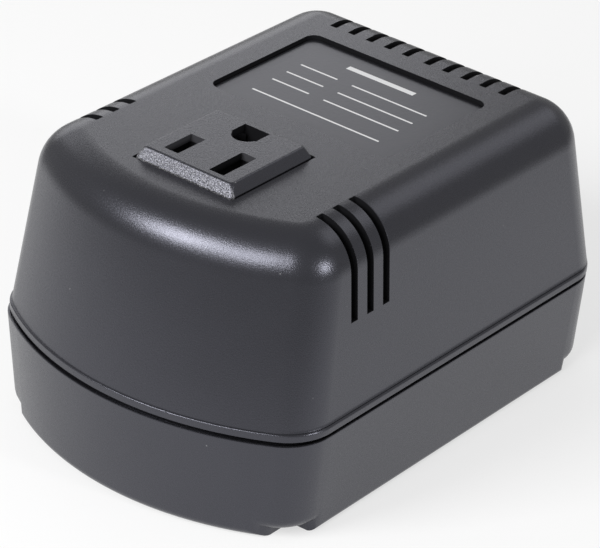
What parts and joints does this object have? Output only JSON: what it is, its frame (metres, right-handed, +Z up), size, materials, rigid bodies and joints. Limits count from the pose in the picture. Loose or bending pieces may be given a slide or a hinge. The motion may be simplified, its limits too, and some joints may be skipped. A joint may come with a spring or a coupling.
{
  "type": "travel voltage converter",
  "caption": "Charcoal plastic travel voltage converter: a step-down mains transformer in a drafted two-part case with a raised three-pin outlet, side and rear vents and a label recess.",
  "frame": {"origin": "on the floor under the middle of the case, level with the foot rails' lower faces", "axes": "+Z up; the bowed front with the outlet faces -Y; +X is to the right when the front is faced"},
  "size_m": [0.0838, 0.1166, 0.0685],
  "materials": {
    "case_plastic": "fine spark-eroded grain, satin",
    "outlet_plastic": "coarser grain, satin",
    "label_film": "smooth printed film, satin",
    "carrier_plastic": "plain moulded",
    "block_plastic": "plain moulded",
    "contact_brass": "rolled strip",
    "screw_steel": "zinc plated",
    "core_steel": "sheared plates, varnished",
    "former_nylon": "plain moulded",
    "winding_enamel": "enamelled copper wire",
    "winding_tape": "polyester tape",
    "tag_metal": "tinned",
    "bracket_steel": "zinc plated",
    "cutout_shell": "plain moulded",
    "blue_lead": "insulated wire",
    "brown_lead": "insulated wire",
    "black_lead": "insulated wire",
    "white_lead": "insulated wire",
    "earth_lead": "insulated wire",
    "bush_rubber": "moulded rubber"
  },
  "bodies": {
    "root": {"top_cover": "case_plastic", "base_tray": "case_plastic", "socket_body": "outlet_plastic", "rating_plate": "label_film", "contact_carrier": "carrier_plastic", "terminal_block": "block_plastic", "hot_contact": "contact_brass", "neutral_contact": "contact_brass", "ground_contact": "contact_brass", "terminal_screws": "contact_brass", "socket_screws": "screw_steel", "core_bolts": "screw_steel", "core_nuts": "screw_steel", "bracket_screws": "screw_steel", "block_screw": "screw_steel", "case_screws": "screw_steel", "e_laminations": "core_steel", "i_laminations": "core_steel", "coil_bobbin": "former_nylon", "primary_winding": "winding_enamel", "secondary_winding": "winding_enamel", "primary_tape": "winding_tape", "secondary_tape": "winding_tape", "bobbin_tags": "tag_metal", "front_bracket": "bracket_steel", "rear_bracket": "bracket_steel", "thermal_cutout": "cutout_shell", "cutout_link": "blue_lead", "neutral_lead": "blue_lead", "live_lead": "brown_lead", "output_hot_lead": "black_lead", "output_neutral_lead": "white_lead", "earth_lead": "earth_lead", "cord_bush": "bush_rubber"}
  },
  "joints": []
}
